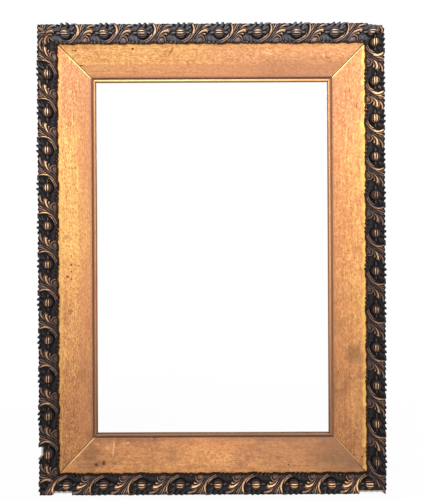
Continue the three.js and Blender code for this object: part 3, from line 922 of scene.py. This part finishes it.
def describe(mesh, side, x, v, w, face):
    """Board coordinates for a moulding's materials, in metres, and shares of its wear and of its painted
    light and shade.
    """
    level = in_frame(side, x, v, w)[..., 2] / (HALF_HEIGHT * MM)
    pink = PINK[side] * ramp(level, 0.5, 0.66)
    shine = SHINE[side] * np.ones_like(x)
    dusk = less_shade = yellow = np.zeros_like(x)
    if side == "top":
        rightwards = ramp(x, -200, 60)
        pink = pink * (0.1 + 0.9 * rightwards)
        shine = 0.5 * (1 - rightwards)
        dusk = 0.45 * ramp(v, 52, 68) * ramp(x, 60, 120)
        yellow = 0.4 * hump(x, -140, 70) * ramp(v, 66, 51)
    if side == "bottom":
        dusk = ramp(x, -60, -280)
        less_shade = hump(x, 0, 90) * ramp(v, 40, 60)
    if side == "left":
        shine = shine + 0.5 * hump(level, 0.17, 0.16)
        yellow = 0.78 * hump(level, 0.17, 0.2) * ramp(v, 94, 72)
        less_shade = 0.7 * hump(level, -0.4, 0.18)
        pink = np.maximum(pink, 0.6 * ramp(v, 68, 82) * ramp(level, 0.15, 0.35))
    if side == "right":
        less_shade = ramp(v, 80, 55) * hump(level, -0.64, 0.12)
    attach(mesh, {name: np.full_like(x, shares[side]) for name, shares in BOARD_SHARES.items()})
    attach(mesh, {name: np.where(x < 0, *shares[side]) for name, shares in MITRE_SHARES.items()})
    attach(mesh, {
        "along": x * MM,
        "across": v * MM,
        "board": np.full_like(x, SIDES.index(side)),
        "mitre": (half_of(side) - v - np.abs(x)) * MM,
        "level": level,
        "face": face,
        "pink": pink,
        "shine": shine,
        "dusk": dusk,
        "less_shade": less_shade,
        "yellow": yellow,
    })


def flat(side, material):
    """A canted board, gilded on its face."""
    corners = [(FLAT_OUT, FLAT_BACK), (FLAT_IN, FLAT_BACK), (FLAT_IN, FLAT_LOW), (ORNAMENT_IN, FLAT_HIGH),
               (FLAT_OUT, FLAT_HIGH)]
    face = 3 * CORNER_STEPS - 1
    ring = fill_span(rounded_section(corners, FLAT_RADII), face, face + 1, FLAT_STEPS)

    def lean(x, v, w):
        front = w > FLAT_LOW - 2
        return front * FACE_WARP * (value_noise(x, v, FACE_WAVE) - 0.5)

    mesh, x, v, w = moulding("gilded_flat_" + side, side, ring, FLAT_STATION, lean)
    describe(mesh, side, x, v, w, w > FLAT_LOW - GILT_OVER)
    piece = add_object(mesh, material, FLAT_CREASE)
    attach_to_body(piece, "frame")
    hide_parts("flat_" + side)


def board_place(paint):
    """Where a moulding's surface lies on its board, with each board kept apart."""
    return paint.vector(*paint.attributes("along", "across", "board"))


def bare_oak(paint, place):
    streak = paint.grain(place, (9, 260, 1), 5, 0.6)
    stain = paint.grain(place, (8, 14, 1), 4)
    wood = paint.mix(streak, (112, 80, 52), (168, 130, 90))
    return paint.mix(paint.step(stain, 0.5, 0.75, 0, 0.5), wood, (82, 62, 46))


# Where the lap of the leaf lies across a board and how far it waves, how far from the mitre it is worn bright
# with a painted highlight and cracked, and how far the edge of the strip with its painted highlight waves
LAP_LINE = (73.5, 74.2)
LAP_WAVE = 4
MITRE_RUB_AND_LIGHT = (4.2, 2.8)
MITRE_CRACK = (2.4, 1.4)
STRIP_WAVE = 30
# Old marks on the boards: place along and across, half length and half width, and turn in degrees
DENTS = {
    "top": ((-290, 44.7, 2.8, 2.4), (-284, 45.2, 2.8, 2.2), (-164, 42.5, 3.6, 3.2), (-276, 73.6, 8, 1.8)),
    "right": ((414, 56.6, 2.2, 2), (416, 41.5, 2.6, 1.6), (370, 57, 2, 1.8), (372, 71, 1.7, 1.6)),
    "bottom": ((244.5, 48.3, 4.6, 4), (229, 51, 3.6, 5), (-158, 47.2, 2.4, 2.1), (125, 96.4, 2.4, 1.8)),
    "left": ((6, 57.2, 1.6, 1.4), (-13.7, 57, 3.4, 2.4), (-27.4, 57.3, 2.4, 1.8), (-43, 57.2, 2.8, 2),
             (-38, 50, 3.2, 3.6)),
}
SCRATCHES = {
    "top": ((-84, 47, 13, 2.4, 126), (241, 57, 7, 1.5, 72), (247, 61, 6, 1.4, 160)),
    "right": ((-352, 63, 9, 1.6, 3), (-342, 70, 12, 1.6, -2), (-318, 49, 9, 1.8, 4), (-262, 66, 14, 1.6, 1)),
}
STAINS = {
    "top": ((296, 66, 16, 7, 20),),
    "right": ((202, 56, 26, 19),),
    "bottom": ((262, 72, 26, 22, 40), (237, 50, 17, 9), (204, 54, 26, 2.6, 172), (205, 93, 70, 8),
               (-330, 66, 150, 60)),
    "left": ((-111, 55, 8, 8, 20), (46, 48, 6, 5)),
}
SCUFFS = {
    "top": ((120, 52, 16, 2.5, 12),),
    "right": ((-250, 70, 30, 3, 4),),
    "bottom": ((210, 80, 2.4, 21, 4), (180, 89, 2.6, 2.2), (134, 76, 2.4, 2.2), (176, 62, 2.6, 2.2),
               (187, 82, 3, 2), (224, 80, 3, 6, 20)),
}


def marks(paint, place, boards):
    """1 where any of the marks lies on its board."""
    found = 0.0
    for side, rows in boards.items():
        for along, across, length, width, *turn in rows:
            here = paint.oval(place, (along, across, SIDES.index(side)), (length, width), *turn)
            found = paint.maths("MAXIMUM", here, found)
    return found


class Gilding(Paint):
    """Water-gilded oak, with the noises that its colours share."""

    def __init__(self):
        super().__init__("gilded_oak")
        spot = self.spot = board_place(self)
        self.specks = self.grain(spot, (170, 220, 1), 6, 0.8)
        self.flakes = self.grain(spot, (150, 260, 1), 5, 0.7)
        self.mottle = self.grain(spot, (38, 58, 1), 6, 0.68)
        self.clouds = self.grain(spot, (7, 13, 1), 3)
        self.streak = self.grain(spot, (16, 210, 1), 5, 0.7)
        self.blotch = self.grain(spot, (26, 36, 1), 5, 0.6)
        self.grit = self.grain(spot, (90, 120, 1), 6, 0.8)
        self.pores = self.grain(spot, (150, 520, 1), 5, 0.75)
        self.dents = marks(self, spot, DENTS)
        self.across, self.level, board, less_shade = self.attributes("across", "level", "board", "less_shade")
        self.upright = self.maths("MODULO", board, 2)
        # Painted shade: low grows towards the foot of the frame, less on the crosswise boards and where
        # less_shade lies
        low = self.times(self.step(self.level, -0.02, -0.68), self.step(self.upright, 0, 1, 0.7, 0.92))
        self.low = self.times(low, self.step(less_shade, 0, 1, 1, 0.4))

    def toward_foot(self, shade, foot):
        """A colour that turns into another towards the foot of the frame, with the painted shade there."""
        return self.mix(self.low, shade, foot)

    def glint(self, pink, shine):
        """How bright the leaf is, and how far it carries painted glints."""
        step, times, add = self.step, self.times, self.add
        bright = self.mm_step(self.across, ORNAMENT_IN + 4, FLAT_IN, 1, 0)
        bright = add(bright, step(self.clouds, 0.3, 0.7, -0.3, 0.3))
        bright = add(bright, step(self.mottle, 0.3, 0.7, -0.5, 0.5))
        bright = times(step(add(bright, shine), 0, 1), step(self.low, 0, 1, 1, 0.25))
        glint = times(step(self.flakes, 0.44, 0.62), step(bright, 0.1, 1, 0.1, 0.8))
        glint = times(glint, step(pink, 0, 0.7, 1, 0.35))
        return bright, times(glint, step(self.level, -0.1, 0.3, 0.45, 1))

    def leaf(self):
        """The mottled leaf, with its red bole, grain, pits and lap."""
        mix, step, times, add, toward_foot = self.mix, self.step, self.times, self.add, self.toward_foot
        pink, shine, yellow, lap, pits = self.attributes("pink", "shine", "yellow", "lap", "pits")
        bright, glint = self.glint(pink, shine)
        # Painted shade towards the foot, made uneven by the mottle
        low_shade = add(self.low, step(self.mottle, 0.3, 0.7, -0.25, 0.25))
        bole = times(step(self.specks, 0.48, 0.6), step(self.mottle, 0.35, 0.6, 0.4, 0.9))
        pitted = times(step(self.pores, 0.52, 0.62), step(self.mottle, 0.3, 0.6, 0.5, 1))
        # Bright gold spots in the pores: painted glints
        gilt = times(step(self.pores, 0.47, 0.36), step(pits, 0, 1, 0.1, 0.7))
        brow = self.mm_step(self.across, FLAT_IN - 9, FLAT_IN, 0, 0.35)
        lapped = self.mm_step(add(self.across, times(self.clouds, MM * LAP_WAVE)), *LAP_LINE)
        return self.coats(
            mix(bright, (224, 154, 98), (244, 180, 106)),
            (step(self.clouds, 0.4, 0.66, 0, 0.5), (222, 148, 102)),
            (pink, mix(self.upright, (210, 148, 114), (174, 123, 96))),
            (step(self.blotch, 0.5, 0.66, 0, 0.55), (206, 130, 80)),
            (glint, (255, 212, 132)),
            (yellow, (255, 206, 118)),
            (step(low_shade, 0, 1.2, 0, 0.6), mix(self.upright, (172, 120, 86), (164, 108, 68))),
            (times(bole, step(self.low, 0, 0.8, 1, 0.6)), toward_foot((184, 104, 60), (136, 84, 52))),
            (step(self.flakes, 0.46, 0.32, 0, 0.5), toward_foot((200, 124, 78), (132, 84, 56))),
            (step(self.streak, 0.42, 0.62, 0, 0.5), toward_foot((184, 116, 72), (138, 90, 60))),
            (step(self.grit, 0.5, 0.62, 0, 0.42), toward_foot((198, 120, 72), (136, 88, 56))),
            # Pale spots in the grit: painted glints
            (step(self.grit, 0.5, 0.38, 0, 0.35), toward_foot((255, 206, 136), (222, 164, 112))),
            (times(pitted, pits), toward_foot((164, 88, 48), (112, 68, 42))),
            (gilt, toward_foot((255, 214, 140), (230, 172, 118))),
            (brow, toward_foot((186, 128, 88), (120, 84, 60))),
            (times(lapped, lap), (194, 132, 92)),
        )

    def worn(self, skin):
        """The leaf with its grime, stains and marks, a painted highlight in a strip along the ornament, and
        its open mitres, whose edges show worn gold with a painted highlight.
        """
        step, mm_step, times, toward_foot = self.step, self.mm_step, self.times, self.toward_foot
        dusk, strip, mitre, rubbed_and_lit, crack = self.attributes("dusk", "strip", "mitre", "rubbed_and_lit", "crack")
        murk = self.add(times(self.clouds, 0.6), times(self.blotch, 0.4))
        murk = times(step(murk, 0.46, 0.62), step(self.low, 0, 0.8, 0.08, 0.5))
        stained = marks(self, self.ragged(self.spot), STAINS)
        stained = times(stained, step(self.mottle, 0.3, 0.62, 0.25, 0.62))
        scuffed = times(marks(self, self.spot, SCUFFS), step(self.mottle, 0.35, 0.6, 0.15, 0.6))
        edge = self.add(self.across, times(self.mottle, MM * -STRIP_WAVE))
        # Painted highlight in a strip along the ornament
        lit = times(mm_step(edge, ORNAMENT_IN - 6, ORNAMENT_IN - 15), strip)
        # The mitres' edges worn bright: worn gold with a painted highlight
        bared_and_lit = times(mm_step(mitre, *MITRE_RUB_AND_LIGHT), step(self.mottle, 0.28, 0.5, 0.4, 1))
        bared_and_lit = times(times(bared_and_lit, rubbed_and_lit), mm_step(self.across, 40, 60, 0.25, 1))
        return self.coats(
            skin,
            (murk, (124, 90, 66)),
            (stained, toward_foot((158, 104, 62), (112, 84, 60))),
            (times(dusk, 0.55), (112, 82, 62)),
            (times(marks(self, self.spot, SCRATCHES), 0.7), (142, 80, 50)),
            (scuffed, (244, 200, 150)),
            (times(self.dents, 0.85), (88, 46, 26)),
            (times(lit, step(self.grit, 0.36, 0.6, 1.15, 0.65)), toward_foot((255, 210, 112), (255, 196, 106))),
            (bared_and_lit, toward_foot((255, 226, 146), (248, 200, 134))),
            (times(mm_step(mitre, *MITRE_CRACK), crack), (84, 46, 28)),
            (mm_step(self.across, FLAT_IN - 5, FLAT_IN - 0.5, 0, 0.4), (118, 104, 98)),
        )


def gilded_paint():
    """Water gilding on the face of a board, bare oak on its other sides."""
    paint = Gilding()
    face = paint.attributes("face")[0]
    relief = paint.maths("SUBTRACT", paint.times(paint.streak, 0.6), paint.times(paint.dents, 3))
    return paint.finish(
        Base_Color=paint.mix(face, bare_oak(paint, paint.spot), paint.worn(paint.leaf())),
        Metallic=paint.times(face, 0.35),
        Roughness=paint.step(paint.flakes, 0.3, 0.7, 0.52, 0.36),
        Specular_IOR_Level=0.2,
        Normal=paint.bump(paint.add(relief, paint.flakes), 0.0004, 0.6),
    )


# Sight slips

JOINT = 0.04
BACK_CHAMFER = 0.5
GROOVE_STEPS = 5
BEAD_STEPS = 17
BEAD_CREASE = 40
BEAD_WARP = 0.04
BEAD_WAVE = 30
SLIP_STATION = 10


def slip(side, material):
    """The bead round the sight edge, with the groove between it and the flat."""
    bead = SIGHT - BEAD_HALF
    spring = BEAD_TOP - BEAD_RISE
    arc = np.linspace(0, np.pi, BEAD_STEPS)
    round_edge = np.stack([bead + BEAD_HALF * np.cos(arc), spring + BEAD_RISE * np.sin(arc)], -1)
    joint = FLAT_IN + JOINT
    groove = np.linspace(bead - BEAD_HALF, joint, GROOVE_STEPS)[1:]
    floor = np.stack([groove, np.full_like(groove, spring)], -1)
    back = [(joint, SLIP_BACK), (SIGHT - BACK_CHAMFER, SLIP_BACK), (SIGHT, SLIP_BACK + BACK_CHAMFER)]
    ring = np.concatenate([round_edge, floor, back])

    def lean(x, v, w):
        return BEAD_WARP * value_noise(x, v, BEAD_WAVE)

    mesh, x, v, w = moulding("sight_bead_" + side, side, ring, SLIP_STATION, lean)
    describe(mesh, side, x, v, w, w > SLIP_BACK + 1)
    piece = add_object(mesh, material, BEAD_CREASE)
    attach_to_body(piece, "frame")
    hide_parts("sight_slip_" + side)


def bead_paint():
    """Burnished gold on the bead with a painted highlight along its crest, brown bole in the groove, and
    brown painted shade along the sight edge.
    """
    paint = Paint("gilt_bead")
    mix, times = paint.mix, paint.times
    step, mm_step = paint.step, paint.mm_step
    place = board_place(paint)
    across, level, face, gleam, strip = paint.attributes("across", "level", "face", "gleam", "strip")
    patches = paint.grain(place, (45, 300, 1), 4, 0.6)
    broad = paint.grain(place, (7, 30, 1), 3)
    off = paint.maths("ABSOLUTE", paint.maths("SUBTRACT", across, MM * (SIGHT - BEAD_HALF)))
    groove = mm_step(across, SLIP_OUT + 3.4, SLIP_OUT + 2.4)
    # The groove's bole, lighter on boards whose strip carries a painted highlight
    bole = mix(times(strip, 0.7), mix(patches, (84, 46, 28), (132, 80, 50)), (190, 126, 82))
    # Painted shade along the sight edge, darker towards the foot
    sight = mm_step(across, SIGHT - 2.4, SIGHT - 1.2)
    shade = mix(step(level, -0.3, -0.88), mix(patches, (104, 64, 38), (160, 106, 68)), (62, 40, 28))
    skin = paint.coats(
        mix(patches, (190, 128, 88), (240, 184, 128)),
        (step(broad, 0.5, 0.7, 0, 0.5), (190, 128, 86)),
        # Painted highlight along the bead's crest; where gleam is below zero the bead is darker
        (times(mm_step(off, 2.4, 0.8), gleam), (255, 200, 134)),
        (step(gleam, 0, -1), (120, 80, 54)),
        (step(level, 0, -0.85, 0, 0.75), (128, 90, 66)),
        (groove, bole),
        (times(sight, 0.9), shade),
    )
    gold = times(paint.maths("SUBTRACT", 1, groove), face)
    return paint.finish(
        Base_Color=mix(face, bare_oak(paint, place), skin),
        Metallic=times(gold, 0.55),
        Roughness=step(patches, 0.3, 0.7, 0.42, 0.28),
        Specular_IOR_Level=0.4,
        Normal=paint.bump(patches, 0.0002, 0.4),
    )


# Bare wood of the back

def pine_paint(name, stretch):
    """Old unfinished pine, browned by age, with its grain along the stretch's small axis."""
    paint = Paint(name)
    step, times = paint.step, paint.times
    place = paint.place()
    bands = paint.grain(place, tuple(0.16 * s for s in stretch), 3, 0.5)
    rings = paint.maths("FRACT", times(bands, 9))
    late = times(step(rings, 0.35, 0.9), step(rings, 1, 0.94))
    fibre = paint.grain(place, tuple(1.6 * s for s in stretch), 5, 0.65)
    grime = paint.noise(place, 7, 5, 0.6)
    wood = paint.coats(
        paint.mix(fibre, (160, 118, 74), (204, 164, 114)),
        (times(late, 0.55), (128, 84, 46)),
        (step(grime, 0.45, 0.75, 0, 0.6), (92, 66, 44)),
    )
    return paint.finish(
        Base_Color=wood,
        Roughness=step(fibre, 0.3, 0.7, 0.85, 0.68),
        Specular_IOR_Level=0.25,
        Normal=paint.bump(paint.add(fibre, times(late, 0.4)), 0.0004, 0.6),
    )


# Metal of the hardware

def metal_paint(name, shades, spoil, spoiled, metallic, roughness):
    """Worn metal between two shades, with tarnish or rust where its noise rises over a level."""
    paint = Paint(name)
    place = paint.place()
    fine = paint.noise(place, 1400, 4, 0.6)
    patches = paint.noise(place, 230, 5, 0.65)
    bad = paint.step(patches, spoiled, spoiled + 0.16)
    skin = paint.mix(bad, paint.mix(fine, *shades), paint.mix(fine, *spoil))
    return paint.finish(
        Base_Color=skin,
        Metallic=paint.step(bad, 0, 1, metallic, 0.25 * metallic),
        Roughness=paint.step(bad, 0, 1, roughness, 0.75),
        Normal=paint.bump(paint.add(fine, patches), 0.0002, 0.5),
    )


WIRE = 1.5
RING_RADIUS = 11
RING_STEPS = 72
WIRE_STEPS = 18


def hanging_ring(side, material):
    """A ring of bent wire, hanging in its eye."""
    low, high = span("hanger_ring_" + side)
    turn = np.linspace(0, 2 * np.pi, RING_STEPS, endpoint=False)[:, None]
    tube = np.linspace(0, 2 * np.pi, WIRE_STEPS, endpoint=False)
    reach = RING_RADIUS + WIRE * np.cos(tube)
    points = np.stack([reach * np.cos(turn), WIRE * np.sin(tube) + 0 * turn, reach * np.sin(turn)], -1)
    points = MM * (points.reshape(-1, 3) + (low + high) / 2)
    index = np.arange(len(points)).reshape(RING_STEPS, WIRE_STEPS)
    ahead = np.roll(index, -1, axis=0)
    corners = [index, ahead, np.roll(ahead, -1, axis=1), np.roll(index, -1, axis=1)]
    quads = np.stack(corners, -1).reshape(-1, 4)
    i, j = np.divmod(index.reshape(-1, 1), WIRE_STEPS)
    places = np.stack([(i + CORNER_ALONG) / RING_STEPS, (j + CORNER_ROUND) / WIRE_STEPS], -1)
    if volume_of(points, quads) < 0:
        quads = quads[:, ::-1]
        places = places[:, ::-1]
    mesh = new_mesh("brass_ring_" + side, points, quads.tolist(), places)
    piece = add_object(mesh, material)
    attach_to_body(piece, side + "_ring")
    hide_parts("hanger_ring_" + side)


WELD_REACH = 1e-6
EASED_ANGLE = 35
RAIL_EASE = 0.7


def round_edges(node, width, material):
    """A CAD piece as it is, with eased edges and a finish."""
    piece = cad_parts[node]
    piece.data.materials.clear()
    piece.data.materials.append(material)
    weld = piece.modifiers.new("weld", "WELD")
    weld.merge_threshold = WELD_REACH
    bevel = piece.modifiers.new("bevel", "BEVEL")
    bevel.width = width * MM
    bevel.segments = 2
    bevel.limit_method = "ANGLE"
    bevel.angle_limit = math.radians(EASED_ANGLE)


# The floor, the light and the camera

FLOOR_SIZE = 12
FLOOR_DROP = 4.5
FLOOR_GREY = (0.9, 0.9, 0.9, 1)
SHADOW_NEAR = 0.5
SHADOW_FAR = 1.0
SHADOW_WHITE = 0.92


def floor():
    """A pale floor under the frame that keeps its soft shadow."""
    size = FLOOR_SIZE / 2
    level = -(HALF_HEIGHT + FLOOR_DROP) * MM
    mesh = bpy.data.meshes.new("floor")
    corners = [(-size, -size, level), (size, -size, level), (size, size, level), (-size, size, level)]
    mesh.from_pydata(corners, [], [(0, 1, 2, 3)])
    paint = Paint("pale_floor")
    material = paint.finish(Base_Color=FLOOR_GREY, Roughness=0.9)
    far = paint.far(paint.place())
    inputs = {"Value": far, "From Min": SHADOW_NEAR, "From Max": SHADOW_FAR, "To Min": SHADOW_WHITE}
    fade = paint.node("MapRange", inputs)["Result"]
    glow = paint.node("Emission", {"Strength": 1.0})["Emission"]
    share = paint.times(paint.seen_by_eye(), fade)
    paint.show(share, paint.shader.outputs["BSDF"], glow, "Material Output")
    add_object(mesh, material)


WHITE = (1.0, 1.0, 1.0, 1.0)
AMBIENT = 0.36


def sky():
    """A white surround for the eye and for reflections, dimmer as a light."""
    world = bpy.data.worlds.new("white_room")
    bpy.context.scene.world = world
    nodes = Nodes(world)
    dim = nodes.tree.nodes["Background"]
    nodes.set(dim.inputs["Color"], WHITE)
    nodes.set(dim.inputs["Strength"], AMBIENT)
    white = nodes.node("Background", {"Color": WHITE, "Strength": 1.0})["Background"]
    nodes.show(nodes.seen_by_eye(), dim.outputs["Background"], white, "World Output")


# Lamps turned to the middle of the frame: name, place and size in metres, and power in watts
LAMPS = (
    ("key", (-0.3, -1.6, 1.2), 1.5, 25),
    ("fill", (0.9, -1.7, 0.1), 1.2, 9),
    ("back", (0.4, 1.8, 1.1), 1.6, 26),
)


def lamp(name, place, size, power):
    light = bpy.data.lights.new(name, "AREA")
    light.shape = "DISK"
    light.size = size
    light.energy = power
    holder = bpy.data.objects.new(name, light)
    holder.location = place
    holder.rotation_euler = (-Vector(place)).to_track_quat("-Z", "Y").to_euler()
    bpy.context.scene.collection.objects.link(holder)


# The photograph in pixels: its size, where the eye's axis meets it and its focal length; then the eye's place
# and the camera's turn in degrees
PHOTO_SIZE = (421, 500)
AXIS_PIXEL = (230.0, 220.3)
FOCAL_PIXELS = 447.1
EYE = (37.7, -970.0, 78.9)
TILT = -0.26
SENSOR = 36.0


def camera():
    lens = bpy.data.cameras.new("camera")
    longest = max(PHOTO_SIZE)
    lens.sensor_width = SENSOR
    lens.lens = SENSOR * FOCAL_PIXELS / longest
    lens.shift_x = (PHOTO_SIZE[0] / 2 - AXIS_PIXEL[0]) / longest
    lens.shift_y = (AXIS_PIXEL[1] - PHOTO_SIZE[1] / 2) / longest
    holder = bpy.data.objects.new("camera", lens)
    turn = Matrix.Rotation(math.radians(90), 4, "X") @ Matrix.Rotation(math.radians(TILT), 4, "Z")
    holder.matrix_world = Matrix.Translation(Vector(EYE) * MM) @ turn
    bpy.context.scene.collection.objects.link(holder)
    bpy.context.scene.camera = holder


# The frame, put together

relief = draw_relief()
bronze = bronze_paint()
gilding = gilded_paint()
bead_gold = bead_paint()
pine_flat = pine_paint("pine_across", (8, 190, 190))
pine_tall = pine_paint("pine_upright", (190, 190, 8))
brass = metal_paint("old_brass", ((150, 116, 58), (196, 158, 88)), ((70, 52, 30), (108, 84, 50)),
                    spoiled=0.52, metallic=0.9, roughness=0.38)
steel = metal_paint("dull_steel", ((112, 110, 106), (160, 157, 150)), ((80, 58, 40), (118, 84, 56)),
                    spoiled=0.56, metallic=0.9, roughness=0.42)
iron = metal_paint("rusty_iron", ((62, 56, 52), (96, 88, 80)), ((88, 52, 32), (126, 78, 46)),
                   spoiled=0.46, metallic=0.85, roughness=0.55)

for side in SIDES:
    ornament(side, relief, bronze)
    flat(side, gilding)
    slip(side, bead_gold)
    round_edges("outer_rail_" + side, RAIL_EASE, pine_tall if is_upright(side) else pine_flat)

# The finish of the small pieces by the start of their names, and the width of their eased edges
FINISHES = {
    "corner_block": (pine_flat, 0.6),
    "hanger_plate": (brass, 0.25),
    "hanger_screw": (steel, 0.2),
    "turn_button": (brass, 0.3),
    "turn_button_screw": (steel, 0.2),
    "mitre_nail": (iron, 0.2),
    "flat_brad": (iron, 0.15),
}
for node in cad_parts:
    kinds = [kind for kind in FINISHES if node.startswith(kind + "_")]
    if kinds:
        material, width = FINISHES[max(kinds, key=len)]
        round_edges(node, width, material)

for side in ("left", "right"):
    hanging_ring(side, brass)

floor()
sky()
for row in LAMPS:
    lamp(*row)
camera()
bpy.context.scene.view_settings.view_transform = "Standard"
